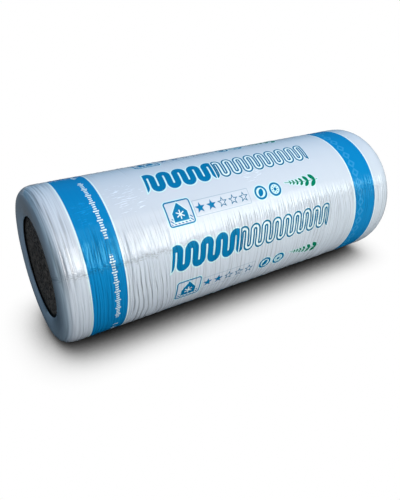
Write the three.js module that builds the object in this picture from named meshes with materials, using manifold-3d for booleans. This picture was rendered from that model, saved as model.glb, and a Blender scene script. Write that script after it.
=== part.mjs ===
// A compressed roll of mineral wool blanket in its polyethylene wrap, lying on its side.
//
// The blanket is one turned solid: a long round body with soft shoulders, a shallow recess in
// each end, and a small eye down the middle where the winding starts. The turns of the blanket
// show on both ends as a spiral groove. The wrap is a thin skin that follows the body, rolls over
// both shoulders and stops at a round opening, so that the wool is seen in each end.
//
// Millimetres, +Z up. The roll lies along X, and the origin is under its middle, on the floor.

import * as THREE from 'three';
import { mergeVertices } from 'three/addons/utils/BufferGeometryUtils.js';
import Module from 'manifold-3d';

const wasm = await Module();
wasm.setup();

// ---- driving dimensions -------------------------------------------------------------------

// Whole roll, over the wrap
const rollLength = 1200;         // the blanket's width, which is the length of the roll
const rollRadius = 223.5;        // over the wrap, to the corners of the facets

// Shoulder between the round side and the end: a quarter of a superellipse
const shoulderLength = 49;       // along the roll
const shoulderHeight = 42;       // towards the axis
const shoulderPower = 2.55;      // 2 is a quarter ellipse, more is squarer

// End of the wrap, inside the shoulder
const endRingWidth = 6;          // flat crown that the roll would stand on
const openingRadius = 143.5;     // round opening where the wool shows
const lipSetback = 6.8;          // how far the wrap's edge lies behind the crown

// Wrap
const filmThickness = 0.6;       // the creased film, taken flat
const filmClearance = 0.3;       // between the wrap and the wool

// Wool blanket
const blanketLength = 10000;     // unrolled
const eyeRadius = 10;            // hollow left by the first curl
const recessDepth = 12.5;        // wool face behind the crown
const filmOverhang = 2.5;        // how far the wrap's edge reaches over the recess
const grooveWidth = 5;           // between one turn and the next, at the face
const grooveDepth = 4;

// Facets
const facetsRound = 64;          // round the roll, one of them flat on the floor
const facetsShoulder = 6;        // along each shoulder
const facetsDish = 3;            // from the crown in to the opening
const stepsPerTurn = 30;         // along each turn of the spiral groove

// ---- derived sizes ------------------------------------------------------------------------

const halfLength = rollLength / 2;
const facetStep = (2 * Math.PI) / facetsRound;
const axisHeight = rollRadius * Math.cos(facetStep / 2);
const crownOuterRadius = rollRadius - shoulderHeight;
const crownInnerRadius = crownOuterRadius - endRingWidth;
const dishWidth = crownInnerRadius - openingRadius;
const dishCurve = (dishWidth ** 2 + lipSetback ** 2) / (2 * lipSetback);
const dishSweep = Math.asin(dishWidth / dishCurve);
const recessRadius = openingRadius + filmOverhang;
const woolInset = filmThickness + filmClearance;
const woolRadius = rollRadius - woolInset;
const turnPitch = (Math.PI * (woolRadius ** 2 - eyeRadius ** 2)) / blanketLength;

// ---- outlines -----------------------------------------------------------------------------

// Outline of one end as points (radius, distance from the roll's middle), from the round side in
// to the opening. It lies the given inset under the wrap's outer face.
function endOutline(inset) {
  const points = [];
  for (let i = 0; i <= facetsShoulder; i += 1) {
    const angle = (Math.PI / 2) * (1 - i / facetsShoulder);
    const along = Math.cos(angle) ** (2 / shoulderPower);
    const out = Math.sin(angle) ** (2 / shoulderPower);
    const normal = new THREE.Vector2(
      out ** (shoulderPower - 1) / shoulderHeight,
      along ** (shoulderPower - 1) / shoulderLength,
    ).normalize();
    points.push(new THREE.Vector2(
      crownOuterRadius + shoulderHeight * out - inset * normal.x,
      halfLength - shoulderLength + shoulderLength * along - inset * normal.y,
    ));
  }
  const curve = dishCurve - inset;
  for (let i = 0; i <= facetsDish; i += 1) {
    const angle = (dishSweep * i) / facetsDish;
    points.push(new THREE.Vector2(
      crownInnerRadius - curve * Math.sin(angle),
      halfLength - dishCurve + curve * Math.cos(angle),
    ));
  }
  return points;
}

// The part of an outline that lies outside the given radius.
function outlineOutside(points, radius) {
  const kept = points.filter((p) => p.x > radius);
  const last = kept[kept.length - 1];
  const next = points[kept.length];
  if (next) {
    kept.push(last.clone().lerp(next, (last.x - radius) / (last.x - next.x)));
  }
  return kept;
}

// The same outline for both ends, from the left opening over the round side to the right one.
function bothEnds(rightEnd) {
  const leftEnd = rightEnd.map((p) => new THREE.Vector2(p.x, -p.y)).reverse();
  return [...leftEnd, ...rightEnd];
}

// A closed outline turned round the X axis, with a facet facing straight down.
function turned(outline) {
  const closed = [...outline, outline[0].clone()];
  const geometry = new THREE.LatheGeometry(closed, facetsRound, facetStep / 2);
  geometry.rotateZ(-Math.PI / 2);
  return geometry;
}

// ---- solids -------------------------------------------------------------------------------

// A closed three.js geometry as a solid that can be cut.
function toSolid(geometry) {
  const bare = geometry.index ? geometry.toNonIndexed() : geometry.clone();
  bare.deleteAttribute('normal');
  bare.deleteAttribute('uv');
  const merged = mergeVertices(bare, 1e-4);
  return new wasm.Manifold(new wasm.Mesh({
    numProp: 3,
    vertProperties: new Float32Array(merged.attributes.position.array),
    triVerts: new Uint32Array(merged.index.array),
  }));
}

// A solid back as a three.js geometry.
function toGeometry(solid) {
  const mesh = solid.getMesh();
  const geometry = new THREE.BufferGeometry();
  geometry.setAttribute('position', new THREE.BufferAttribute(mesh.vertProperties, 3));
  geometry.setIndex(new THREE.BufferAttribute(mesh.triVerts, 1));
  geometry.computeVertexNormals();
  return geometry;
}

// The line between the turns on one end face: one pitch further out for each turn.
class WindingLine extends THREE.Curve {
  constructor(facePosition) {
    super();
    this.facePosition = facePosition;
    this.startRadius = eyeRadius - grooveWidth / 2;
    this.turns = (recessRadius - grooveWidth - this.startRadius) / turnPitch;
  }

  getPoint(t, target = new THREE.Vector3()) {
    const turn = this.turns * t;
    const radius = this.startRadius + turnPitch * turn;
    const angle = 2 * Math.PI * turn;
    return target.set(this.facePosition, radius * Math.cos(angle), radius * Math.sin(angle));
  }

  // Even steps of angle, not of length, so that the small inner turns stay round.
  getUtoTmapping(u) {
    return u;
  }
}

// V-shaped groove along the winding line. side is 1 on the right end and -1 on the left.
function windingGroove(side) {
  const line = new WindingLine(side * (halfLength - recessDepth));
  const above = grooveDepth / 2;
  const halfTop = (grooveWidth / 2) * (1 + above / grooveDepth);
  const section = new THREE.Shape([
    new THREE.Vector2(side * grooveDepth, 0),
    new THREE.Vector2(-side * above, side * halfTop),
    new THREE.Vector2(-side * above, -side * halfTop),
  ]);
  return new THREE.ExtrudeGeometry(section, {
    steps: Math.round(line.turns * stepsPerTurn),
    extrudePath: line,
  });
}

function woolRollGeometry() {
  const face = halfLength - recessDepth;
  const rightEnd = [
    ...outlineOutside(endOutline(woolInset), recessRadius),
    new THREE.Vector2(recessRadius, face),
    new THREE.Vector2(eyeRadius, face),
  ];
  const body = toSolid(turned(bothEnds(rightEnd)));
  const grooved = body.subtract(toSolid(windingGroove(1))).subtract(toSolid(windingGroove(-1)));
  return toGeometry(grooved);
}

function filmSleeveGeometry() {
  const outside = bothEnds(endOutline(0));
  const inside = bothEnds(endOutline(filmThickness)).reverse();
  return turned([...outside, ...inside]);
}

// ---- object -------------------------------------------------------------------------------

function piece(name, geometry, material) {
  const mesh = new THREE.Mesh(geometry, material);
  mesh.name = name;
  mesh.position.z = axisHeight;
  return mesh;
}

const wool = new THREE.MeshStandardMaterial({ color: 0x6e665f, roughness: 0.95, metalness: 0 });
const film = new THREE.MeshStandardMaterial({ color: 0xe3ebf3, roughness: 0.3, metalness: 0 });

const insulationRoll = new THREE.Group();
insulationRoll.add(
  piece('wool_roll', woolRollGeometry(), wool),
  piece('film_sleeve', filmSleeveGeometry(), film),
);

export default insulationRoll;
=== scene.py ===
"""Looks of the insulation roll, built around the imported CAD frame. Blender 4.5, metres, +Z up.

The wrap is one dense skin whose creases are real geometry. Its print and its finest creases are
worked out by shader nodes from two stored coordinates: the distance along the roll and the arc
length round it. The wool is a turned body whose end faces carry the winding's spiral and a fibrous
surface.

Shapes are in metres. Print and fine relief are in millimetres, along the roll from its left end.
Angles round the roll are in degrees, from its top line down the front and on round the back.
"""

import math
from functools import reduce

import bpy
import numpy as np
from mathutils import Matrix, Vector


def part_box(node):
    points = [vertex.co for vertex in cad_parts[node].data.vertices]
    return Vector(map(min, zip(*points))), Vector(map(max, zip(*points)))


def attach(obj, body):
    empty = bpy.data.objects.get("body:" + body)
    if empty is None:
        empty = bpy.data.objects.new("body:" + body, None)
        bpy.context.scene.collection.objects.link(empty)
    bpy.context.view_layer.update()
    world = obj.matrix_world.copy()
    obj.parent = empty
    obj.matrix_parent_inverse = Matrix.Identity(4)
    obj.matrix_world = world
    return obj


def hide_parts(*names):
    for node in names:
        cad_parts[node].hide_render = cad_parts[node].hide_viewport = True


TURN = 2 * math.pi

# ---- sizes, in metres ----

SHOULDER_LENGTH = 0.049
SHOULDER_HEIGHT = 0.042
SHOULDER_POWER = 2.55
END_RING = 0.006
OPENING_RADIUS = 0.1435
LIP_SETBACK = 0.0068
FILM_DEPTH = 0.0022
FILM_OVERHANG = 0.0025
WOOL_CLEARANCE = 0.0006
EYE_RADIUS = 0.010
RECESS_DEPTH = 0.0125
RECESS_RADIUS = OPENING_RADIUS + FILM_OVERHANG
TURN_PITCH = 0.0155

# ---- places of the print, in millimetres ----

# The radius is the one over the corners of the solid's facets.
ROLL_RADIUS_MM = 223.5
MM_PER_DEGREE = ROLL_RADIUS_MM * math.pi / 180

# Rows repeat round the roll. Each has its middle line at the given angle.
REPEAT_DEGREES = 60
REPEAT = REPEAT_DEGREES * MM_PER_DEGREE
WAVE_ROW = 20.6
GAUGE_ROW = 30.0
SPRIG_ROW = 48.5
ICON_ROW = 49.5

# The print jumps at the wrap's long seam, low on the front. From there round the back, up to the
# slack angle, the film is stretched less, and the rows lie a little closer together.
SEAM_ANGLE = 126
SLACK_ANGLE = -20
SLACK = 0.973

LEFT_BAND = (74.7, 168.9)
RIGHT_BAND = (1012.9, 1108.5)
GAUGE_PLACE = 142
CHAIN_PLACE = 1037
WAVES_START = 303
HOUSE_PLACE = 357.8
STAR_BOX_PLACE = 498.5
FIRST_STAR = 422.8
LEAF_RING_PLACE = 635.9
SUN_RING_PLACE = 690.7
SPRIG_FOOT = 866

# ---- noise ----

# Cells along u before the noise repeats, and what brings its extremes to about 1
LATTICE_CELLS = 512
LATTICE_GAIN = 1.5


def lattice_noise(u, v, v_period, seed):
    """Gradient noise from about -1 to 1 that repeats in v every v_period cells."""
    rng = np.random.default_rng(seed)
    angles = rng.random((LATTICE_CELLS, v_period)) * TURN
    cell_u = np.floor(u).astype(int)
    cell_v = np.floor(v).astype(int)
    part_u = u - cell_u
    part_v = v - cell_v
    total = np.zeros(np.broadcast(u, v).shape)
    for du in (0, 1):
        for dv in (0, 1):
            angle = angles[(cell_u + du) % LATTICE_CELLS, (cell_v + dv) % v_period]
            slope = np.cos(angle) * (part_u - du) + np.sin(angle) * (part_v - dv)
            weight_u = np.abs(1 - du - fade(part_u))
            weight_v = np.abs(1 - dv - fade(part_v))
            total = total + weight_u * weight_v * slope
    return total * LATTICE_GAIN


def fade(t):
    """From 0 to 1, with no slope and no curvature at either end."""
    return t * t * t * (t * (t * 6 - 15) + 10)


def noise_height(place, degrees, noise):
    """Height of one noise, given by its cell's size, cells in a turn, seed and height."""
    size, cells, seed, height = noise
    return lattice_noise(place / size, degrees / 360 * cells, cells, seed) * height


def smooth_between(value, low, high):
    """0 below low, 1 above high, smooth between."""
    t = np.clip((value - low) / (high - low), 0, 1)
    return t * t * (3 - 2 * t)


# ---- turned bodies ----

# Steps of the fine curve that the rings of an end are spaced along
FINE_SHOULDER_STEPS = 60
FINE_DISH_STEPS = 24


def end_profile(length, radius, inset):
    """Points (x, radius, normal x, normal radial) of the right end, from the round side inwards."""
    crown_outer = radius - SHOULDER_HEIGHT
    crown_inner = crown_outer - END_RING
    dish_width = crown_inner - OPENING_RADIUS
    dish_curve = (dish_width**2 + LIP_SETBACK**2) / (2 * LIP_SETBACK)
    sweep = math.asin(dish_width / dish_curve)
    points = []
    # the shoulder is a quarter of a superellipse
    for i in range(FINE_SHOULDER_STEPS + 1):
        angle = math.pi / 2 * (1 - i / FINE_SHOULDER_STEPS)
        along = math.cos(angle) ** (2 / SHOULDER_POWER)
        out = math.sin(angle) ** (2 / SHOULDER_POWER)
        normal_x = along ** (SHOULDER_POWER - 1) / SHOULDER_LENGTH
        normal_r = out ** (SHOULDER_POWER - 1) / SHOULDER_HEIGHT
        normal = np.array([normal_x, normal_r])
        normal /= np.linalg.norm(normal)
        x = length / 2 - SHOULDER_LENGTH + SHOULDER_LENGTH * along
        r = crown_outer + SHOULDER_HEIGHT * out
        points.append((x - inset * normal[0], r - inset * normal[1], normal[0], normal[1]))
    # the dish is an arc from the flat crown in to the lip
    curve = dish_curve - inset
    for i in range(FINE_DISH_STEPS + 1):
        angle = sweep * i / FINE_DISH_STEPS
        x = length / 2 - dish_curve + curve * math.cos(angle)
        r = crown_inner - curve * math.sin(angle)
        points.append((x, r, math.cos(angle), -math.sin(angle)))
    return points


def even_steps(points, count):
    """The same curve with count points, evenly spaced along it."""
    points = np.array(points)
    gaps = np.hypot(np.diff(points[:, 0]), np.diff(points[:, 1]))
    run = np.concatenate([[0], np.cumsum(gaps)])
    at = np.linspace(0, run[-1], count)
    return np.stack([np.interp(at, run, points[:, k]) for k in range(points.shape[1])], axis=1)


def whole_profile(length, radius, inset, body_rings, end_rings):
    """Profile of a body from the left lip, over the round side, to the right lip."""
    right = even_steps(end_profile(length, radius, inset), end_rings)
    left = right[::-1] * np.array([-1, 1, -1, 1])
    body_half = length / 2 - SHOULDER_LENGTH
    xs = np.linspace(-body_half, body_half, body_rings + 2)[1:-1]
    zero = np.zeros_like(xs)
    body = np.stack([xs, zero + (radius - inset), zero, zero + 1], axis=1)
    return np.concatenate([left, body, right])


def all_round(values, steps):
    """Rows of a grid that keep one value all the way round the roll."""
    return np.repeat(values[:, None], steps, axis=1)


def turned_grid(x, r, degrees, axis_z):
    """Points and four-sided faces of a closed body, from grids of x and radius.

    A row is a ring round the roll, and the last ring joins the first. No point is below the floor.
    """
    rings, steps = x.shape
    theta = np.radians(degrees)
    z = np.maximum(axis_z + r * np.cos(theta), 0)
    points = np.stack([x, -r * np.sin(theta), z], axis=-1).reshape(-1, 3)
    ring = np.arange(rings)[:, None]
    step = np.arange(steps)[None, :]
    quads = []
    for next_ring, next_step in ((0, 0), (0, 1), (1, 1), (1, 0)):
        quads.append((ring + next_ring) % rings * steps + (step + next_step) % steps)
    return points, np.stack(quads, axis=-1).reshape(-1, 4)


def mesh_from(name, points, quads):
    """A smooth mesh of four-sided faces."""
    mesh = bpy.data.meshes.new(name)
    mesh.vertices.add(len(points))
    mesh.vertices.foreach_set("co", np.asarray(points, np.float32).ravel())
    mesh.loops.add(quads.size)
    mesh.loops.foreach_set("vertex_index", quads.astype(np.int32).ravel())
    mesh.polygons.add(len(quads))
    mesh.polygons.foreach_set("loop_start", np.arange(len(quads), dtype=np.int32) * 4)
    mesh.polygons.foreach_set("loop_total", np.full(len(quads), 4, np.int32))
    mesh.update(calc_edges=True)
    mesh.validate()
    mesh.shade_smooth()
    return mesh


def add_object(name, data):
    obj = bpy.data.objects.new(name, data)
    bpy.context.scene.collection.objects.link(obj)
    return obj


# ---- wrap: shape ----

# Rings on the round side and on each end, and points round each ring
SKIN_RINGS = (900, 46)
LINING_RINGS = (20, 10)
ROUND_STEPS = 96
WRAP_MAP = "wrap"

# Pleats of slack film run round the roll. Each row is one stretch of the wrap: how many there are,
# where it lies in metres from the roll's middle, the angles between which they begin, and their
# least and most length in degrees, and half width and height in millimetres.
PLEAT_STRETCHES = (
    (34, (-0.585, -0.430), (28, 46), (60, 130), (2.0, 3.2), (0.35, 0.75)),
    (20, (-0.430, -0.290), (44, 56), (45, 110), (2.0, 3.4), (0.55, 1.00)),
    (14, (-0.430, -0.290), (70, 110), (25, 60), (1.8, 2.6), (0.40, 0.80)),
    (44, (-0.290, 0.420), (58, 68), (30, 90), (1.9, 3.0), (0.25, 0.55)),
    (50, (-0.290, 0.420), (66, 115), (25, 70), (1.8, 2.8), (0.30, 0.65)),
    (26, (0.300, 0.580), (57, 67), (14, 45), (1.9, 2.8), (0.20, 0.45)),
    (16, (0.420, 0.580), (66, 120), (25, 60), (1.9, 2.8), (0.20, 0.45)),
    (90, (-0.585, 0.585), (110, 200), (40, 120), (2.0, 3.4), (0.35, 0.85)),
    (90, (-0.585, 0.585), (200, 300), (25, 60), (2.0, 3.4), (0.35, 0.85)),
    (70, (-0.585, 0.585), (328, 346), (12, 34), (2.0, 3.0), (0.20, 0.45)),
)
PLEAT_SEED = 7
PLEAT_GAIN = 1.35

# Each pleat lies between these parts of its equal share of the stretch. It rises over one part of
# its length, and falls from another part on.
PLEAT_PLACES = (0.1, 0.9)
PLEAT_RISEN = 0.22
PLEAT_FALLING = 0.6

# A pleat drifts along the roll, in metres for each degree, and sways to and fro, by the least and
# most distance in metres and number of waves in the given angle.
PLEAT_DRIFT = 0.00006
PLEAT_SWAY = (0.0006, 0.0022)
PLEAT_WAVES = (0.8, 2.2)
WAVES_ANGLE = 100

# The valley beside a pleat: its depth for a height of 1, and its place in half widths
VALLEY_DEPTH = 0.55
VALLEY_PLACE = 1.7

# A pleat is worked out only this near to its place, in half widths and metres.
PLEAT_NEAR = 6
PLEAT_NEAR_MARGIN = 0.012

# Noise on the film: a cell's size along the roll in metres, cells in a turn, seed, height in metres
SWELL = (0.055, 12, 15, 0.0003)
RIPPLE = (0.017, 24, 14, 0.0002)

# The ripple is calmer on the smooth top, which begins and ends between these angles.
SMOOTH_BEGIN = (-8, 6)
SMOOTH_END = (40, 62)
SMOOTH_CALM = 0.85


def pleat_height(along, around):
    """Height of the pleats in metres, at places given in metres and degrees."""
    rng = np.random.default_rng(PLEAT_SEED)
    total = np.zeros((len(along), len(around)))
    for count, stretch, begins, lengths, half_widths, heights in PLEAT_STRETCHES:
        for k in range(count):
            share = (k + rng.uniform(*PLEAT_PLACES)) / count
            centre = stretch[0] + share * (stretch[1] - stretch[0])
            begin = rng.uniform(*begins)
            length = rng.uniform(*lengths)
            half_width = rng.uniform(*half_widths) / 1000
            height = PLEAT_GAIN * rng.uniform(*heights) / 1000
            drift = rng.normal(0, PLEAT_DRIFT)
            sway = rng.uniform(*PLEAT_SWAY)
            waves = rng.uniform(*PLEAT_WAVES)
            phase = rng.uniform(0, TURN)
            side = rng.choice((-1, 1))
            run = (around - begin) % 360
            rise = smooth_between(run / length, 0, PLEAT_RISEN)
            strength = rise * (1 - smooth_between(run / length, PLEAT_FALLING, 1))
            swayed = sway * np.sin(phase + waves * TURN * run / WAVES_ANGLE)
            middle = centre + drift * run + swayed
            near = np.abs(along - centre) < PLEAT_NEAR * half_width + PLEAT_NEAR_MARGIN
            across = (along[near][:, None] - middle) / half_width
            valley = VALLEY_DEPTH * np.exp(-((across - VALLEY_PLACE * side) ** 2))
            total[near] += height * strength * (np.exp(-(across**2)) - valley)
    return total


def crease_height(along, around):
    """Height of the film over its even shape, in metres."""
    place = along[:, None]
    smooth_top = smooth_between(around, *SMOOTH_BEGIN) * (1 - smooth_between(around, *SMOOTH_END))
    ripple = noise_height(place, around, RIPPLE) * (1 - SMOOTH_CALM * smooth_top)
    return pleat_height(along, around) + noise_height(place, around, SWELL) + ripple


def build_skin(name, length, radius, axis_z):
    """The wrap as one closed skin: outer face, hem at each lip and a plain lining."""
    outer = whole_profile(length, radius, 0, *SKIN_RINGS)
    lining = whole_profile(length, radius, FILM_DEPTH, *LINING_RINGS)[::-1]
    degrees = np.arange(ROUND_STEPS) / ROUND_STEPS * 360 - 180
    height = crease_height(outer[:, 0], degrees)
    ring_x, ring_r, normal_x, normal_r = outer.T[:, :, None]
    x = np.concatenate([ring_x + normal_x * height, all_round(lining[:, 0], ROUND_STEPS)])
    r = np.concatenate([ring_r + normal_r * height, all_round(lining[:, 1], ROUND_STEPS)])
    points, quads = turned_grid(x, r, degrees, axis_z)
    mesh = mesh_from(name, points, quads)
    distance = np.concatenate([outer[:, 0], lining[:, 0]]) + length / 2
    arc = np.radians(np.append(degrees, 180)) * radius
    store_places(mesh, quads, distance, arc)
    return add_object(name, mesh)


def store_places(mesh, quads, distance, arc):
    """Stores each face corner's distance from the left end and arc length from the top line."""
    ring = quads // ROUND_STEPS
    step = quads % ROUND_STEPS
    # the last face of a ring runs on to the last arc length, not back to the first
    step[:, 1:3] = step[:, [0, 3]] + 1
    places = np.stack([distance[ring], arc[step]], axis=-1)
    layer = mesh.uv_layers.new(name=WRAP_MAP)
    layer.data.foreach_set("uv", places.astype(np.float32).ravel())


# ---- wool: shape ----

FACE_RINGS = 110
FACE_STEPS = 176
WOOL_RINGS = (30, 12)

# The groove between two turns of the blanket: its depth, and how sharply the turns round into it
GROOVE_DEPTH = 0.0035
GROOVE_POWER = 5

# Noise on the end faces: a cell's size outwards in metres, cells in a turn, seed, and height in
# metres, or in turns of the blanket for the wobble
WOBBLE = (0.03, 6, 21, 0.16)
FELT = (0.0035, 48, 22, 0.0007)
LUMPS = (0.012, 24, 23, 0.0012)


def build_wool(name, length, radius, axis_z):
    """The wound blanket: two relief end faces joined by a plain body under the wrap."""
    inset = FILM_DEPTH + WOOL_CLEARANCE
    body = whole_profile(length, radius, inset, *WOOL_RINGS)
    body = body[body[:, 1] > RECESS_RADIUS]
    radii = np.linspace(EYE_RADIUS, RECESS_RADIUS, FACE_RINGS)
    degrees = np.arange(FACE_STEPS) / FACE_STEPS * 360
    face = length / 2 - RECESS_DEPTH + face_relief(radii[:, None], degrees)
    # left face from the eye outwards, the body, the right face back to the eye
    x = np.concatenate([-face, all_round(body[:, 0], FACE_STEPS), face[::-1]])
    r = all_round(np.concatenate([radii, body[:, 1], radii[::-1]]), FACE_STEPS)
    points, quads = turned_grid(x, r, degrees, axis_z)
    return add_object(name, mesh_from(name, points, quads))


def face_relief(radii, degrees):
    """Height of the wool face: rounded turns with a groove between, and a felted surface."""
    wobble = noise_height(radii, degrees, WOBBLE)
    turns = (radii - EYE_RADIUS) / TURN_PITCH - degrees / 360 + wobble
    across = (turns - np.floor(turns)) * 2 - 1
    groove = np.abs(across) ** GROOVE_POWER * GROOVE_DEPTH
    return -groove + noise_height(radii, degrees, FELT) + noise_height(radii, degrees, LUMPS)


# ---- shader arithmetic ----

# The Mix node's two colour inputs and its colour output, whose names it has more than once
MIX_FIRST = 6
MIX_SECOND = 7
MIX_RESULT = 2


def new_node(tree, kind, inputs=None):
    """A new shader node, with some inputs given as in feed."""
    node = tree.nodes.new("ShaderNode" + kind)
    feed(node, inputs or {})
    return node


def feed(node, inputs):
    """Gives inputs of a node, by name or number, a value or a link from a field or a socket."""
    for place, source in inputs.items():
        if isinstance(source, Field):
            source = source.socket
        if isinstance(source, bpy.types.NodeSocket):
            node.id_data.links.new(source, node.inputs[place])
        else:
            node.inputs[place].default_value = source


class Field:
    """A number that varies over the surface. Arithmetic on it adds Math nodes."""

    def __init__(self, tree, socket):
        self.tree = tree
        self.socket = socket

    def math(self, operation, *values, clamp=False):
        node = new_node(self.tree, "Math", dict(enumerate((self, *values))))
        node.operation = operation
        node.use_clamp = clamp
        return Field(self.tree, node.outputs[0])

    def __add__(self, other):
        return self.math("ADD", other)

    def __sub__(self, other):
        return self.math("SUBTRACT", other)

    def __mul__(self, other):
        return self.math("MULTIPLY", other)

    def __abs__(self):
        return self.math("ABSOLUTE")

    def __neg__(self):
        return self.math("MULTIPLY", -1)

    def least(self, other):
        return self.math("MINIMUM", other)

    def most(self, other):
        return self.math("MAXIMUM", other)

    def wrap(self, low, high):
        """The number brought between low and high by whole turns of their difference."""
        return self.math("WRAP", high, low)

    def repeat(self, pitch):
        """Signed distance from the nearest of many places that lie one pitch apart."""
        return self.wrap(-pitch / 2, pitch / 2)

    def ramp(self, start, end, low=0, high=1):
        """Low up to the start, high from the end on, and straight between them."""
        part = (self - start).math("MULTIPLY", 1 / (end - start), clamp=True)
        return part if (low, high) == (0, 1) else part.between(low, high)

    def between(self, low, high):
        """Low where the field is 0, and high where it is 1."""
        return self * (high - low) + low

    def hump(self):
        """1 at 0, curved down to 0 at -1 and 1, and 0 beyond."""
        return (self * self * -1 + 1).most(0)

    def tent(self, middle, reach):
        """1 at the middle, straight down to 0 at the reach on both sides, and 0 beyond."""
        return (abs(self - middle) * (-1 / reach) + 1).most(0)


def mixed(first, second, mask):
    """The first colour where the mask is 0, and the second where it is 1."""
    node = new_node(mask.tree, "Mix")
    node.data_type = "RGBA"
    feed(node, {0: mask, MIX_FIRST: first, MIX_SECOND: second})
    return node.outputs[MIX_RESULT]


def dimmed(colour, factor):
    """A colour times a field."""
    node = new_node(factor.tree, "VectorMath")
    node.operation = "SCALE"
    feed(node, {0: colour, "Scale": factor})
    return node.outputs[0]


def noise_at(along, arc, along_cells, arc_cells, detail=1.0, first_cell=0, roughness=0.5):
    """Noise about 0.5 on average, with so many cells in each unit along the roll and round it."""
    x = along * along_cells + first_cell
    place = new_node(along.tree, "CombineXYZ", {0: x, 1: arc * arc_cells}).outputs[0]
    inputs = {"Vector": place, "Scale": 1, "Detail": detail, "Roughness": roughness}
    return Field(along.tree, new_node(along.tree, "TexNoise", inputs).outputs[0])


def random_three(cell):
    """Three random numbers from 0 to 1 for each cell, which is a whole number."""
    noise = new_node(cell.tree, "TexWhiteNoise")
    noise.noise_dimensions = "1D"
    feed(noise, {"W": cell})
    split = new_node(cell.tree, "SeparateColor", {0: noise.outputs["Color"]})
    return [Field(cell.tree, socket) for socket in split.outputs]


def length_of(x, y):
    return (x * x + y * y).math("SQRT")


def turned_by(x, y, degrees):
    """x and y seen from axes turned by some degrees."""
    c = math.cos(math.radians(degrees))
    s = math.sin(math.radians(degrees))
    return x * c + y * s, y * c - x * s


# ---- flat shapes ----

# A shape is a field of distances in millimetres, negative inside the shape.


def box(x, y, half_x, half_y, corner=0.0):
    dx = abs(x) - (half_x - corner)
    dy = abs(y) - (half_y - corner)
    outside = length_of(dx.most(0), dy.most(0))
    inside = dx.most(dy).least(0)
    return outside + inside - corner


def disc(x, y, radius):
    return length_of(x, y) - radius


def leaf(x, y, half_length, half_width):
    """Two arcs that meet in a point at each end of the leaf, which lies along x."""
    radius = (half_length**2 + half_width**2) / (2 * half_width)
    return length_of(x, abs(y) + (radius - half_width)) - radius


def crossed_bars(x, y, half_x, half_y, angles):
    """Like bars that cross in their middles, one at each angle."""
    return reduce(Field.least, [box(*turned_by(x, y, turn), half_x, half_y) for turn in angles])


def star(x, y, radius, inner):
    """Five-pointed star, one point up."""
    sector = TURN / 5
    folded = abs(x.math("ARCTAN2", y).repeat(sector))
    away = length_of(x, y)
    px = away * folded.math("COSINE")
    py = away * folded.math("SINE")
    tip = (radius, 0.0)
    notch = (inner * math.cos(sector / 2), inner * math.sin(sector / 2))
    edge = (notch[0] - tip[0], notch[1] - tip[1])
    size = math.hypot(*edge)
    normal = (edge[1] / size, -edge[0] / size)
    return (px - tip[0]) * normal[0] + py * normal[1]


def wave(x, y, pitch, height):
    """Distance to the middle line of a serpentine whose upright strokes lie one pitch apart."""
    folded = x.repeat(2 * pitch)
    upright = abs(abs(folded) - pitch / 2)
    reach = height / 2 - pitch / 2
    top = abs(length_of(folded, y - reach) - pitch / 2)
    shifted = (x + pitch).repeat(2 * pitch)
    bottom = abs(length_of(shifted, y + reach) - pitch / 2)
    above = (y - reach).math("GREATER_THAN", 0)
    below = (y + reach).math("LESS_THAN", 0)
    return top * above + bottom * below + upright * (above + below).between(1, 0)


def ink(distance):
    """1 inside a shape and 0 outside, with a soft edge of one millimetre."""
    return (-distance).math("ADD", 0.5, clamp=True)


def line(distance, half_width, inset=0):
    """1 on a line that follows the edge of a shape, inside it by the inset."""
    return ink(abs(distance + inset) - half_width)


# ---- print ----

BLUE = (0.004, 0.238, 0.560, 1)
PALE_BLUE = (0.028, 0.305, 0.635, 1)
LETTER_BLUE = (0.002, 0.180, 0.400, 1)
OUTLINE_BLUE = (0.002, 0.155, 0.310, 1)
BOX_LINE = (0.340, 0.480, 0.600, 1)
GREEN = (0.002, 0.200, 0.105, 1)
WHITE = (0.640, 0.715, 0.800, 1)
# Bluish tint of the painted shade on the gathered film round the left opening
RIM_SHADE_TINT = (0.538, 0.715, 0.850, 1)
BRIGHT = (0.780, 0.940, 0.960, 1)
EDGE_WHITE = (0.640, 0.930, 0.960, 1)
BAND_EDGE = (0.780, 0.960, 0.980, 1)

# Lines are given by half their width, and by how far inside a shape's edge they lie. A halo is how
# far a paler edge reaches out of a shape.
BAND_EDGE_LINE = (2.1, -2.1)

# Gauge in the left band: half its height, and the ticks' pitch, half width and half length
GAUGE_HALF = 98
TICKS = (6.8, 1.9, 4.4)
LONG_TICKS = (27.2, 1.9, 7.5)

# Chain of lozenges in the right band: pitch, and a lozenge's half sizes, corner and turn
LOZENGE_PITCH = 34
LOZENGE = (11.5, 11.5, 3)
LOZENGE_ANGLE = 45
LOZENGE_LINE = (3.4, 2.5)

# Serpentines: length, place of the first bend, pitch of the strokes, height and half the stroke's
# width. They slant along the roll, by so much for each millimetre up.
BOLD_WAVE = (222, 12, 24.6, 58.0, 9.7)
LIGHT_WAVE = (352, 10, 20.6, 60.0, 6.0)
WAVE_GAP = 6
WAVE_SLANT = 0.18
BOLD_HALO = 3.6
LIGHT_HALO = 4.6
LIGHT_LINE = 2.8

# House in a frame, on hatched ground, with a frost star. Heights are from the row's middle line.
FRAME = (40.5, 36.5, 9)
FRAME_EDGE = 2.8
FRAME_LINE = (2.2, 2)
HATCH_ANGLE = 50
HATCH_PITCH = 7.2
HATCH_HALF = 1.5
HATCH_INSET = 6
GROUND_HEIGHT = -13
ROOF_SLOPES = (0.78, 0.62)
ROOF_REACH = 18.5
WALL_HALF = 23
WALL_FOOT = -24
HOUSE_HALO = 2.4
FROST_HEIGHT = -5
FROST_ARM = (1.5, 13)
FROST_ANGLES = (0, 60, 120)

# Stars in a box: its half sizes and corner, and a star's outer and inner radius
STAR_BOX = (94, 23.4, 2)
STAR_BOX_LINE = 0.8
STARS = 5
FILLED_STARS = 2
STAR_SPACING = 37.3
STAR_RADII = (16.8, 7.2)
STAR_LINE = (1.2, 1)

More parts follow.
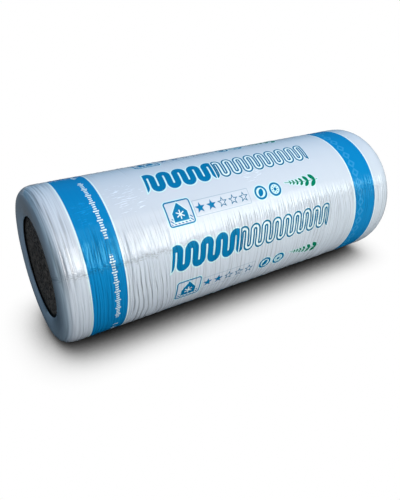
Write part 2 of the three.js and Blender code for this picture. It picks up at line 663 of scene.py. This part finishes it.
# Two rings, one with a leaf and one with a sun
RING_RADIUS = 19
RING_LINE = 3.4
RING_HALO_RADIUS = 25.5
RING_LEAF = (14, 8.5)
RING_LEAF_ANGLE = 62
SUN_RADIUS = 5.6
RAY_START = 8.0
RAY = (12.5, 1.2)
RAY_ANGLES = (0, 45, 90, 135)

# Sprig: each pair of leaves has its place along the stem and half its length. In half lengths, the
# middle of a leaf lies this far on from there and out from the stem, and this is half its width.
SPRIG_LEAVES = ((10, 15.5), (38, 13.0), (61, 9.5), (79, 7.0), (94, 6.0), (107, 5.0))
LEAF_MIDDLE = (0.75, 0.66)
LEAF_WIDTH = 0.48
LEAF_ANGLE = 40
SPRIG_HALO = 2.2
STEM_HALF = (66, 1.0)
STEM_DROP = 4
STEM_BOW = 0.0007

# A ramp over the gathered film round the left opening, from where it ends to where it is full, for
# its painted shade and that shade's bluish tint
RIM_ALONG = (24, 8)


def printed_colour(along, arc):
    """Colour of the wrap: white film, two blue bands and rows of plain pictograms."""
    seam = SEAM_ANGLE * MM_PER_DEGREE
    from_slack = arc.wrap(seam - TURN * ROLL_RADIUS_MM, seam) - SLACK_ANGLE * MM_PER_DEGREE
    unrolled = from_slack + from_slack.least(0) * (1 / SLACK - 1)

    def row(degrees):
        """Height in millimetres above a row's middle line, towards the top of the roll."""
        from_middle = unrolled - (degrees - SLACK_ANGLE) * MM_PER_DEGREE
        return -from_middle.repeat(REPEAT)

    layers = [
        # bluish tint of the painted shade round the left opening
        (along.ramp(*RIM_ALONG), RIM_SHADE_TINT),
        *band_layers(along),
        *gauge_layers(along, arc, row(GAUGE_ROW)),
        *chain_layers(along, arc),
        *wave_layers(along, row(WAVE_ROW)),
        *house_layers(along - HOUSE_PLACE, row(ICON_ROW)),
        *star_layers(along, row(ICON_ROW)),
        *ring_layers(along, row(ICON_ROW)),
        *sprig_layers(along, row(SPRIG_ROW)),
    ]
    colour = WHITE
    for mask, shade in layers:
        colour = mixed(colour, shade, mask)
    return colour


def band_layers(along):
    """Two plain bands, each with a bright edge."""
    layers = []
    for low, high in (LEFT_BAND, RIGHT_BAND):
        band = abs(along - (low + high) / 2) - (high - low) / 2
        layers.append((line(band, *BAND_EDGE_LINE), BAND_EDGE))
        layers.append((ink(band), BLUE))
    return layers


def ticks(along, arc, pitch, half_width, half_length):
    """Ticks one pitch apart round the roll, across the gauge's middle line."""
    width = abs(arc.repeat(pitch)) - half_width
    return width.most(abs(along - GAUGE_PLACE) - half_length)


def gauge_layers(along, arc, up):
    """A white gauge of plain ticks in the left band, with a gap at each repeat."""
    both = ticks(along, arc, *TICKS).least(ticks(along, arc, *LONG_TICKS))
    return [(ink(both.most(abs(up) - GAUGE_HALF)), BRIGHT)]


def chain_layers(along, arc):
    """A paler chain of rounded lozenges in the right band."""
    places = turned_by(along - CHAIN_PLACE, arc.repeat(LOZENGE_PITCH), LOZENGE_ANGLE)
    return [(line(box(*places, *LOZENGE), *LOZENGE_LINE), PALE_BLUE)]


def serpentine(x, up, length, first_bend, pitch, height, half_width):
    """A serpentine cut off at both ends, from x = 0 to its length."""
    stroke = wave(x - first_bend, up, pitch, height) - half_width
    return stroke.most(-x).most(x - length)


def wave_layers(along, up):
    """The bold and the outlined serpentine that fill the widest row."""
    x = along - WAVES_START - up * WAVE_SLANT
    bold = serpentine(x, up, *BOLD_WAVE)
    light = serpentine(x - BOLD_WAVE[0] - WAVE_GAP, up, *LIGHT_WAVE)
    return [
        (ink(bold - BOLD_HALO), EDGE_WHITE),
        (ink(bold), LETTER_BLUE),
        (ink(light - LIGHT_HALO), BRIGHT),
        (line(light, LIGHT_LINE), OUTLINE_BLUE),
    ]


def house_layers(x, up):
    """A plain house with a frost star, on hatched ground in a frame."""
    frame_shape = box(x, up, *FRAME)
    strokes = abs(turned_by(x, up, HATCH_ANGLE)[0].repeat(HATCH_PITCH)) - HATCH_HALF
    ground = (up - GROUND_HEIGHT).most(frame_shape + HATCH_INSET)
    roof = abs(x) * ROOF_SLOPES[0] + up * ROOF_SLOPES[1] - ROOF_REACH
    house = roof.most((abs(x) - WALL_HALF).most(-up + WALL_FOOT))
    frost = crossed_bars(x, up - FROST_HEIGHT, *FROST_ARM, FROST_ANGLES)
    return [
        (line(frame_shape, FRAME_EDGE), EDGE_WHITE),
        (ink(strokes.most(ground)), LETTER_BLUE),
        (line(frame_shape, *FRAME_LINE), LETTER_BLUE),
        (ink(house - HOUSE_HALO), EDGE_WHITE),
        (ink(house), LETTER_BLUE),
        (ink(frost), BRIGHT),
    ]


def star_layers(along, up):
    """A row of stars in a thin box. The first ones are filled, the rest outlined."""
    row_middle = FIRST_STAR + STAR_SPACING * (STARS - 1) / 2
    in_row = ink(abs(along - row_middle) - STAR_SPACING * STARS / 2)
    filled = ink(along - FIRST_STAR - STAR_SPACING * (FILLED_STARS - 0.5))
    shape = star((along - FIRST_STAR).repeat(STAR_SPACING), up, *STAR_RADII)
    return [
        (line(box(along - STAR_BOX_PLACE, up, *STAR_BOX), STAR_BOX_LINE), BOX_LINE),
        (ink(shape) * in_row * filled, LETTER_BLUE),
        (line(shape, *STAR_LINE) * in_row * filled.between(1, 0), OUTLINE_BLUE),
    ]


def ring_layers(along, up):
    """Two rings, with a leaf in the left one and a sun in the right one."""
    layers = []
    for place in (LEAF_RING_PLACE, SUN_RING_PLACE):
        layers.append((ink(disc(along - place, up, RING_HALO_RADIUS)), EDGE_WHITE))
        layers.append((line(disc(along - place, up, RING_RADIUS), RING_LINE), LETTER_BLUE))
    leaf_places = turned_by(along - LEAF_RING_PLACE, up, RING_LEAF_ANGLE)
    layers.append((ink(leaf(*leaf_places, *RING_LEAF)), LETTER_BLUE))
    sun_x = along - SUN_RING_PLACE
    rays = crossed_bars(sun_x, up, *RAY, RAY_ANGLES).most(-disc(sun_x, up, RAY_START))
    layers.append((ink(rays.least(disc(sun_x, up, SUN_RADIUS))), LETTER_BLUE))
    return layers


def sprig_layers(along, up):
    """A green sprig: a bowed stem with pairs of leaves that grow smaller towards its left tip."""
    x = -along + SPRIG_FOOT
    bow = up + STEM_DROP - x * x * STEM_BOW
    whole = (abs(bow) - STEM_HALF[1]).most(abs(x - STEM_HALF[0]) - STEM_HALF[0])
    for place, half_length in SPRIG_LEAVES:
        for side in (1, -1):
            middle_x = x - place - half_length * LEAF_MIDDLE[0]
            middle_y = bow - side * half_length * LEAF_MIDDLE[1]
            places = turned_by(middle_x, middle_y, side * LEAF_ANGLE)
            whole = whole.least(leaf(*places, half_length, half_length * LEAF_WIDTH))
    return [(ink(whole - SPRIG_HALO), EDGE_WHITE), (ink(whole), GREEN)]


# ---- fine relief of the film ----

# A ramp runs ALONG or ROUND the roll, as its name says, or over a noise or a mask. It is given by
# where it starts and ends, and by its values there if they aren't 0 and 1.

# Crevices between gathered pleats. Each row is: spacing, stretch along the roll, the angles between
# which they begin, over which they last and over which they open, half width and depth.
CREVICES = (
    (13.0, (-20, 90), (64, 78), (30, 140), 20, 3.0, 0.45),
    (10.0, (60, 180), (62, 82), (50, 140), 20, 2.0, 0.6),
    (10.0, (160, 315), (68, 86), (50, 140), 20, 2.2, 1.1),
    (7.4, (70, 320), (38, 50), (26, 36), 20, 1.9, 0.7),
    (8.2, (62, 180), (38, 48), (26, 34), 20, 2.1, 0.9),
    (12.5, (290, 900), (57, 63), (8, 48), 12, 1.8, 0.8),
    (7.2, (470, 1120), (57, 64), (14, 28), 4, 1.4, 1.3),
    (15.0, (290, 900), (70, 95), (30, 90), 20, 2.0, 0.8),
    (11.0, (860, 1220), (56, 68), (10, 70), 12, 1.8, 0.7),
    (6.3, (-20, 1220), (54, 78), (10, 100), 20, 1.2, 0.3),
)

# Cells from one set's random numbers to the next set's
CREVICE_SEED_STEP = 97.0

# How far a crevice strays, as a share of the spacing, the angle over which it closes, the length
# over which a set fades in and out, and the least and most depth for a depth of 1
CREVICE_STRAY = 0.6
CREVICE_CLOSING = 14
CREVICE_FADE = 20
CREVICE_DEPTHS = (0.5, 1.1)

# Just right of the left band, crevices lean to the right as they go down, from this angle on. All
# of them wander along the roll.
LEAN_ANGLE = 50
LEAN_PER_DEGREE = 0.35
LEAN_ALONG = ((170, 260), (380, 300))
WANDER_WIDTH = 16

# The ledge where the smooth top ends swings up and down, and lies lower near the left end. It is
# sharp there, and fades out towards the right.
FOLD_ANGLE = 67.5
FOLD_SWING = 9
FOLD_DROP_ALONG = (420, 300, 0, 3.0)
FOLD_STRENGTH_ALONG = (420, 260, 0.2, 1)
LEDGE_WIDTH = 2.4
LEDGE_HEIGHT = 0.75
LEDGE_LEAST = 0.8
CRUMPLE_HEIGHT = 1.7

# Where the film is crumpled, and where painted shade darkens it: middle, in degrees below the ledge,
# and reach
CRUMPLE_BELOW = (0.6, 4.4)
SHADED_BELOW = (2.2, 3.0)

# Film that is pulled unevenly. It lies lower on the right half, and is rougher at the left end.
PULL_ANGLE = 61.0
PULL_REACH = 16.0
PULL_DROP_ALONG = (340, 500, 0, 7.5)
PULL_HEIGHT_ALONG = (200, 150, 4.0, 8.5)

# Ridges round the left shoulder and fainter ones beside it, and streaks of painted shade in their
# valleys. All of them end at the lip, and are softer below the ledge.
RIDGE_HEIGHT = 3.0
RIDGES_ALONG = (70, 30)
FAINT_RIDGES_ALONG = (200, 150, 0, 0.15)
RIDGES_ROUND = (84, 70, 0.5, 1)
STREAKS_ALONG = (80, 35)
STREAKS_ROUND = (84, 70, 0.4, 1)
STREAK_VALLEYS = (0.52, 0.38)
LIP_ALONG = (1, 7)

# The gathered rim shows its painted shade between these angles.
RIM_ROUND = ((-60, 0), (160, 115))

# Dashes are short bright creases where the film is pulled smooth, raised by bump and brightened by a
# painted highlight. Each patch of them has its middle and half sizes, along the roll and in degrees.
# They slant, and crowd towards its middle.
DASH_PATCHES = (((226, 30), (66, 15)), ((112, 34), (34, 13)), ((640, 33), (50, 8)))
DASH_SLANT = 0.1
DASH_CROWDING = 0.1
DASH_GRAIN = (0.66, 0.72)
DASH_PATCH_EDGE = (0, 0.3)
DASH_HEIGHT = 0.3

# Fine pleats. They begin unevenly on the front, and run round the back to the top line. Their height
# is given on the smooth top and off it, and they are lower near the left end.
FINE_FRONT_ROUND = (54, 66)
FINE_TOP_ROUND = (6, -6)
FINE_UNEVEN = 60
FINE_SWAY = 9
FINE_HEIGHTS = (0.03, 0.58)
FINE_ALONG = (40, 110, 0.6, 1)

# Noises on the film: cells in each millimetre along the roll and round it, and if need be detail,
# first cell and roughness
WANDER_NOISE = (0.01, 0.008)
PULL_NOISE = (0.105, 0.004)
DASH_NOISE = (0.04, 0.3)
RIDGE_NOISE = (0.135, 0.005, 1.0, 31)
CRUMPLE_NOISE = (0.17, 0.24, 2.0)
PATCH_NOISE = (0.13, 0.3)
SWAY_NOISE = (0.02, 0.012, 2.0)
THREAD_NOISE = (0.3, 0.017, 3.0, 0, 0.6)
COMB_NOISE = (0.11, 0.004)


def crevices(place, angle, seed, row):
    """Depth in millimetres of one set of crevices."""
    pitch, (left, right), begins, lengths, opening, half_width, depth = row
    count = place * (1 / pitch)
    cell = count.math("FLOOR")
    first, second, third = random_three(cell + seed * CREVICE_SEED_STEP)
    stray = (first - 0.5) * CREVICE_STRAY
    ditch = ((count - cell - 0.5 + stray) * (pitch / half_width)).hump()
    start = second.between(*begins)
    stop = start + third.between(*lengths)
    opened = (angle - start).ramp(0, opening)
    closed = (stop - angle).ramp(0, CREVICE_CLOSING)
    inside = place.ramp(left, left + CREVICE_FADE) * place.ramp(right, right - CREVICE_FADE)
    return ditch * ditch * opened * closed * inside * first.between(*CREVICE_DEPTHS) * depth


def gathered_crevices(along, arc, angle):
    """Depth of all crevices in millimetres. The sets lie along lines that wander a little."""
    lean = along.ramp(*LEAN_ALONG[0]) * along.ramp(*LEAN_ALONG[1])
    drift = (angle - LEAN_ANGLE).most(0) * lean * -LEAN_PER_DEGREE
    wander = (noise_at(along, arc, *WANDER_NOISE) - 0.5) * WANDER_WIDTH
    place = along + drift + wander
    sets = [crevices(place, angle, seed, row) for seed, row in enumerate(CREVICES, 1)]
    return reduce(Field.__add__, sets)


def fold_line(along, arc, angle):
    """How unevenly the film is pulled, and the angle below the ledge where the smooth top ends."""
    pull = noise_at(along, arc, *PULL_NOISE) - 0.5
    return pull, angle + pull * FOLD_SWING - along.ramp(*FOLD_DROP_ALONG) - FOLD_ANGLE


def dashes(along, arc, angle):
    """1 on the short bright creases, which get bump and a painted highlight."""
    patches = []
    for (place, turn), (half_length, half_turn) in DASH_PATCHES:
        off_x = (along - place) * (1 / half_length)
        off_y = (angle - turn) * (1 / half_turn)
        patches.append((off_x * off_x * -1 + 1 - off_y * off_y).most(0))
    inside = reduce(Field.most, patches)
    grain = noise_at(along, arc + along * DASH_SLANT, *DASH_NOISE)
    dashed = (grain + inside * DASH_CROWDING).ramp(*DASH_GRAIN)
    return dashed * inside.ramp(*DASH_PATCH_EDGE)


def shoulder_fold_shade(along, arc, angle):
    """Painted shade: 1 in the folds between the left shoulder's ridges, and less below the ledge."""
    low = noise_at(along, arc, *RIDGE_NOISE).ramp(*STREAK_VALLEYS)
    return low * angle.ramp(*STREAKS_ROUND) * along.ramp(*STREAKS_ALONG) * along.ramp(*LIP_ALONG)


def pulled_relief(along, angle, pull):
    """Bands of film between crevices that are pulled unevenly, which breaks up the highlight."""
    from_middle = angle - along.ramp(*PULL_DROP_ALONG) - PULL_ANGLE
    hill = (from_middle * (1 / PULL_REACH)).hump()
    return pull * hill * hill * along.ramp(*PULL_HEIGHT_ALONG)


def ridge_relief(along, arc, angle):
    """Ridges round the left shoulder, and fainter ones on the film beside it."""
    strength = along.ramp(*RIDGES_ALONG) * along.ramp(*LIP_ALONG) + along.ramp(*FAINT_RIDGES_ALONG)
    ridges = (noise_at(along, arc, *RIDGE_NOISE) - 0.5) * strength
    return ridges * angle.ramp(*RIDGES_ROUND) * RIDGE_HEIGHT


def ledge_relief(along, arc, below):
    """The ledge where the smooth top ends, with crumpled film along it."""
    ledge = below.ramp(0, LEDGE_WIDTH)
    crumple = (noise_at(along, arc, *CRUMPLE_NOISE) - 0.5) * below.tent(*CRUMPLE_BELOW)
    sharp = along.ramp(*FOLD_STRENGTH_ALONG)
    return crumple * sharp * CRUMPLE_HEIGHT - ledge * sharp.most(LEDGE_LEAST) * LEDGE_HEIGHT


def fine_relief(along, arc, angle):
    """Fine pleats round the roll, wherever it isn't pulled smooth."""
    sway = (noise_at(along, arc, *SWAY_NOISE) - 0.5) * FINE_SWAY
    threads = noise_at(along + sway, arc, *THREAD_NOISE) - 0.5
    uneven = (noise_at(along, arc, *COMB_NOISE) - 0.5) * FINE_UNEVEN
    pleated = (angle + uneven).ramp(*FINE_FRONT_ROUND).most(angle.ramp(*FINE_TOP_ROUND))
    return threads * pleated.between(*FINE_HEIGHTS) * along.ramp(*FINE_ALONG)


# ---- materials ----

# Painted shade: share of the light that is kept off crevices, for each millimetre of depth and at
# most, and off patches under the ledge, the shoulder's folds and the gathered rim. The dashes get
# more instead, as a painted highlight.
CREVICE_SHADE = 0.36
MOST_CREVICE_SHADE = 0.75
CRUMPLE_SHADE = 0.38
CRUMPLE_PATCHES = (0.36, 0.58)
STREAK_SHADE = 0.42
RIM_SHADE = 0.34
DASH_LIGHT = 0.30

# The gain brings the white film to a plain white reflection. At a depth of 1, reflections would be
# tinted as deeply as the print.
TINT_GAIN = tuple(1 / channel for channel in WHITE)
TINT_DEPTH = 0.35

FILM_SHADER = {"Roughness": 0.12, "IOR": 1.5, "Specular IOR Level": 0.75}
FILM_BUMP = {"Strength": 1.0, "Distance": 0.001}

# Wool: noise, with cells in a metre, and its two colours with the parts of it that they stand for
WOOL_SHADER = {"Roughness": 0.95, "Specular IOR Level": 0.2}
WOOL_BUMP = {"Strength": 0.8, "Distance": 0.002}
WOOL_NOISE = {"Scale": 120, "Detail": 8, "Roughness": 0.65}
WOOL_COLOURS = ((0.36, (0.020, 0.018, 0.016, 1)), (0.66, (0.230, 0.195, 0.165, 1)))
WOOL_EDGE_WIDTH = 0.015
WOOL_EDGE_LIGHT = 0.08


def new_material(name):
    material = bpy.data.materials.new(name)
    material.use_nodes = True
    tree = material.node_tree
    return material, tree, tree.nodes["Principled BSDF"]


def empty_tree(owner):
    """The node tree of a material or world, with nothing in it."""
    owner.use_nodes = True
    owner.node_tree.nodes.clear()
    return owner.node_tree


def wrap_place(tree):
    """Distance along the roll and arc length round it, both in millimetres."""
    stored = new_node(tree, "UVMap")
    stored.uv_map = WRAP_MAP
    split = new_node(tree, "SeparateXYZ", {0: stored.outputs[0]})
    return [Field(tree, socket) * 1000 for socket in split.outputs[:2]]


def gloss_tint(tree, colour):
    """The print lies under the clear film and tints what the film reflects, but less deeply."""
    gain = new_node(tree, "Mix")
    gain.data_type = "RGBA"
    gain.blend_type = "MULTIPLY"
    gain.clamp_result = True
    feed(gain, {0: 1, MIX_FIRST: colour, MIX_SECOND: TINT_GAIN})
    inputs = {"Color": gain.outputs[MIX_RESULT], "Gamma": TINT_DEPTH}
    return new_node(tree, "Gamma", inputs).outputs[0]


def film_light(along, arc, angle, gathered, below, dashed):
    """Share of the light that reaches the film, painted into its colour as shade, and over 1 as a
    painted highlight on the short bright creases.
    """
    # Painted shade in patches on the crumpled film just under the ledge
    patches = noise_at(along, arc, *PATCH_NOISE).ramp(*CRUMPLE_PATCHES)
    strength = along.ramp(*FOLD_STRENGTH_ALONG) * CRUMPLE_SHADE
    crumpled = below.tent(*SHADED_BELOW) * patches * strength
    fold_shaded = shoulder_fold_shade(along, arc, angle) * STREAK_SHADE
    shade = (gathered * CREVICE_SHADE).least(MOST_CREVICE_SHADE).most(crumpled).most(fold_shaded)
    # Painted shade of the gathered film round the left opening, deepest on the front
    rim = along.ramp(*RIM_ALONG) * angle.ramp(*RIM_ROUND[0]) * angle.ramp(*RIM_ROUND[1])
    return (dashed * DASH_LIGHT - shade + 1) * rim.between(1, 1 - RIM_SHADE)


def film_material():
    material, tree, shader = new_material("printed_film")
    along, arc = wrap_place(tree)
    angle = arc * (1 / MM_PER_DEGREE)
    gathered = gathered_crevices(along, arc, angle)
    pull, below = fold_line(along, arc, angle)
    dashed = dashes(along, arc, angle)
    light = film_light(along, arc, angle, gathered, below, dashed)
    # The print's colour carries the painted shade and painted highlight.
    colour = dimmed(printed_colour(along, arc), light)
    relief = fine_relief(along, arc, angle) + dashed * DASH_HEIGHT
    relief = relief + ledge_relief(along, arc, below)
    relief = relief + pulled_relief(along, angle, pull)
    relief = relief + ridge_relief(along, arc, angle) - gathered
    # The tint comes from the colour with its painted shade and highlight.
    tint = gloss_tint(tree, colour)
    bump = new_node(tree, "Bump", {"Height": relief, **FILM_BUMP}).outputs[0]
    feed(shader, {"Base Color": colour, "Specular Tint": tint, "Normal": bump, **FILM_SHADER})
    return material


def wool_material(axis_z):
    material, tree, shader = new_material("mineral_wool")
    place = new_node(tree, "TexCoord").outputs["Object"]
    noise = new_node(tree, "TexNoise", {"Vector": place, **WOOL_NOISE}).outputs[0]
    ramp = new_node(tree, "ValToRGB", {0: noise})
    for element, (position, shade) in zip(ramp.color_ramp.elements, WOOL_COLOURS):
        element.position = position
        element.color = shade
    # painted shade: little light reaches the wool right under the wrap's edge
    split = new_node(tree, "SeparateXYZ", {0: place})
    from_axis = length_of(Field(tree, split.outputs[1]), Field(tree, split.outputs[2]) - axis_z)
    lit = from_axis.ramp(OPENING_RADIUS, OPENING_RADIUS - WOOL_EDGE_WIDTH, WOOL_EDGE_LIGHT, 1)
    colour = dimmed(ramp.outputs[0], lit)
    bump = new_node(tree, "Bump", {"Height": noise, **WOOL_BUMP}).outputs[0]
    feed(shader, {"Base Color": colour, "Normal": bump, **WOOL_SHADER})
    return material


# ---- floor ----

FLOOR_HALF = 12.0
FLOOR_DROP = 0.0005
FLOOR_COLOUR = (0.4, 0.4, 0.4, 1)

# The painted contact shadow comes from the open share of the sky, to the left and to the right.
OPEN_SAMPLES = 24
SHADOW_REACH = 0.14
SHADOW_LEAN = 0.5
SHADOW_GAIN = 2.309
SHADOW_OFFSET = 0.29
SHADOW_POWER = 2.258
SHADOW_LIFT = 1.012

# The film mirrors a darker floor, with a painted shadow that is darkest close to the roll.
MIRRORED_REACH = 1.2
MIRRORED_POWER = 6.0
MIRRORED_WHITE = 0.1


def open_share(tree, reach, direction):
    """Share of the sky about a direction that nothing covers within the given reach."""
    towards = new_node(tree, "CombineXYZ", dict(enumerate(Vector(direction).normalized())))
    node = new_node(tree, "AmbientOcclusion", {"Distance": reach, "Normal": towards.outputs[0]})
    node.samples = OPEN_SAMPLES
    return Field(tree, node.outputs["AO"])


def ray_kinds(tree):
    """1 for rays from the camera, for mirrored rays, and for rays that pass through glass."""
    rays = new_node(tree, "LightPath")
    kinds = ("Is Camera Ray", "Is Glossy Ray", "Is Transmission Ray")
    return [Field(tree, rays.outputs[kind]) for kind in kinds]


def shade_by_ray(tree, output, kinds, plain, white):
    """Ends a tree with the white shader for some kinds of rays, and the plain one for light."""
    inputs = {0: reduce(Field.most, kinds), 1: plain.outputs[0], 2: white.outputs[0]}
    new_node(tree, output, {0: new_node(tree, "MixShader", inputs).outputs[0]})


def floor_material():
    """Pale floor. The camera sees it as white, with a painted soft contact shadow round the roll."""
    material = bpy.data.materials.new("pale_floor")
    tree = empty_tree(material)
    seen, mirrored, through = ray_kinds(tree)
    open_left = open_share(tree, SHADOW_REACH, (-SHADOW_LEAN, 0, 1))
    open_right = open_share(tree, SHADOW_REACH, (SHADOW_LEAN, 0, 1))
    lit = (open_left.least(open_right) * SHADOW_GAIN - SHADOW_OFFSET).most(0)
    dark = (-lit.math("POWER", SHADOW_POWER)).math("EXPONENT")
    plain_light = dark.between(SHADOW_LIFT, 0).least(1)
    wide = open_share(tree, MIRRORED_REACH, (0, 0, 1)).math("POWER", MIRRORED_POWER)
    light = plain_light * seen.most(through) + wide * mirrored * MIRRORED_WHITE
    plain = new_node(tree, "BsdfDiffuse", {"Color": FLOOR_COLOUR})
    white = new_node(tree, "Emission", {"Strength": light})
    shade_by_ray(tree, "OutputMaterial", (seen, mirrored, through), plain, white)
    return material


# ---- stage ----

CAMERA_PLACE = (-0.8122, -1.1704, 0.8673)
CAMERA_FORWARD = (0.4725, 0.74525, -0.47047)
CAMERA_CLIP = (0.05, 60)
FOCAL_PIXELS = 465.9
IMAGE_HEIGHT = 500
SENSOR = 36.0

# Flags: name, centre, width, height, and turns about x and z in degrees.
FLAGS = (
    ("flag_behind", (2.0, 8.0, 6.8), 24.0, 13.0, 0, 0),
    ("flag_above", (2.0, 1.0, 13.3), 24.0, 14.0, 90, 0),
    ("flag_right", (5.4, 0.0, 3.3), 13.0, 6.0, 0, 90),
    ("flag_left", (-5.4, 1.0, 3.3), 13.0, 6.0, 0, 90),
)
FLAG_COLOUR = (0.02, 0.15, 0.26, 1)

# Softboxes: name, centre, point that it faces, width, height, radiance for red, green and blue.
SOFTBOXES = (
    ("strip_low", (0.3, -2.21, 0.84), (0.3, 0, 0.84), 1.9, 0.42, (6.1, 5.85, 5.5)),
    ("strip_mid", (1.35, -2.21, 1.275), (1.35, 0, 1.275), 3.9, 0.45, (3.7, 3.95, 3.45)),
    ("strip_high", (1.15, -2.21, 1.9), (1.15, 0, 1.9), 3.5, 0.8, (2.3, 2.15, 1.85)),
    ("top", (0.75, 0.1, 3.2), (0.75, 0.1, 0), 3.0, 1.8, (1.95, 2.05, 2.5)),
    ("back", (0.4, 2.4, 2.2), (0.3, 0, 0.2), 3.0, 1.4, (1.15, 1.97, 2.3)),
    ("key", (-0.35, -2.2, 1.35), (-0.35, 0, 0.3), 0.5, 1.3, (5.8, 5.3, 5.5)),
)
DIFFUSE_ONLY = ("top", "back")
AMBIENT = (0.13, 0.16, 0.20, 1)


def place_facing(obj, place, direction):
    """Puts a camera or lamp at a place, facing the given direction."""
    obj.location = place
    obj.rotation_mode = "QUATERNION"
    obj.rotation_quaternion = Vector(direction).to_track_quat("-Z", "Y")


def add_camera():
    data = bpy.data.cameras.new("camera")
    data.sensor_width = SENSOR
    data.lens = FOCAL_PIXELS / IMAGE_HEIGHT * SENSOR
    data.clip_start, data.clip_end = CAMERA_CLIP
    camera = add_object("camera", data)
    place_facing(camera, CAMERA_PLACE, CAMERA_FORWARD)
    bpy.context.scene.camera = camera


def add_panel(name, half_side, half_up, material):
    """A flat rectangle, given by the vectors from its middle to two of its sides."""
    signs = ((-1, -1), (1, -1), (1, 1), (-1, 1))
    corners = [a * Vector(half_side) + b * Vector(half_up) for a, b in signs]
    panel = add_object(name, mesh_from(name, corners, np.array([[0, 1, 2, 3]])))
    panel.data.materials.append(material)
    return panel


def add_floor():
    floor = add_panel("floor", (FLOOR_HALF, 0, 0), (0, FLOOR_HALF, 0), floor_material())
    floor.location.z = -FLOOR_DROP


def add_flags():
    """Blue-grey panels round and above the roll, to keep the white room's glare off it."""
    material = bpy.data.materials.new("flag")
    tree = empty_tree(material)
    shade = new_node(tree, "Emission", {"Color": FLAG_COLOUR})
    new_node(tree, "OutputMaterial", {0: shade.outputs[0]})
    for name, place, width, height, tilt, turn in FLAGS:
        flag = add_panel(name, (width / 2, 0, 0), (0, 0, height / 2), material)
        flag.location = place
        flag.rotation_euler = (math.radians(tilt), 0, math.radians(turn))
        flag.visible_camera = False
        flag.visible_diffuse = False


def add_softbox(name, place, aim, width, height, radiance):
    """A rectangular lamp of even radiance, facing the point aim."""
    brightest = max(radiance)
    data = bpy.data.lights.new(name, "AREA")
    data.shape = "RECTANGLE"
    data.size = width
    data.size_y = height
    data.energy = brightest * math.pi * width * height
    data.color = [channel / brightest for channel in radiance]
    lamp = add_object(name, data)
    place_facing(lamp, place, Vector(aim) - Vector(place))
    lamp.visible_glossy = name not in DIFFUSE_ONLY


def add_world():
    """A dim room that is plain white to the camera, in mirrors and through glass."""
    world = bpy.data.worlds.new("studio")
    bpy.context.scene.world = world
    tree = empty_tree(world)
    ambient = new_node(tree, "Background", {"Color": AMBIENT})
    white = new_node(tree, "Background", {"Color": (1, 1, 1, 1)})
    shade_by_ray(tree, "OutputWorld", ray_kinds(tree), ambient, white)


# ---- scene ----

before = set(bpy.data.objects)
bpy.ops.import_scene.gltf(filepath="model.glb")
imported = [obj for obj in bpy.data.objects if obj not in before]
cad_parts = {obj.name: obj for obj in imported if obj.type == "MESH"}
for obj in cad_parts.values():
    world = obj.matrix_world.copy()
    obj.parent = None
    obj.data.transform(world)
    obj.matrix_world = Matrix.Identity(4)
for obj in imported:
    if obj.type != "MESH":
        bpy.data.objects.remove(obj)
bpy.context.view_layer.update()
add_camera()
low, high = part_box("film_sleeve")
roll_length = high.x - low.x
roll_radius = (high.z - low.z) / 2
axis_height = (high.z + low.z) / 2

wrap = build_skin("printed_wrap", roll_length, roll_radius, axis_height)
wrap.data.materials.append(film_material())
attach(wrap, "root")
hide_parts("film_sleeve")

wool = build_wool("wound_wool", roll_length, roll_radius, axis_height)
wool.data.materials.append(wool_material(axis_height))
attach(wool, "root")
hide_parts("wool_roll")

add_floor()
add_flags()
for softbox in SOFTBOXES:
    add_softbox(*softbox)
add_world()

bpy.context.scene.view_settings.view_transform = "Standard"
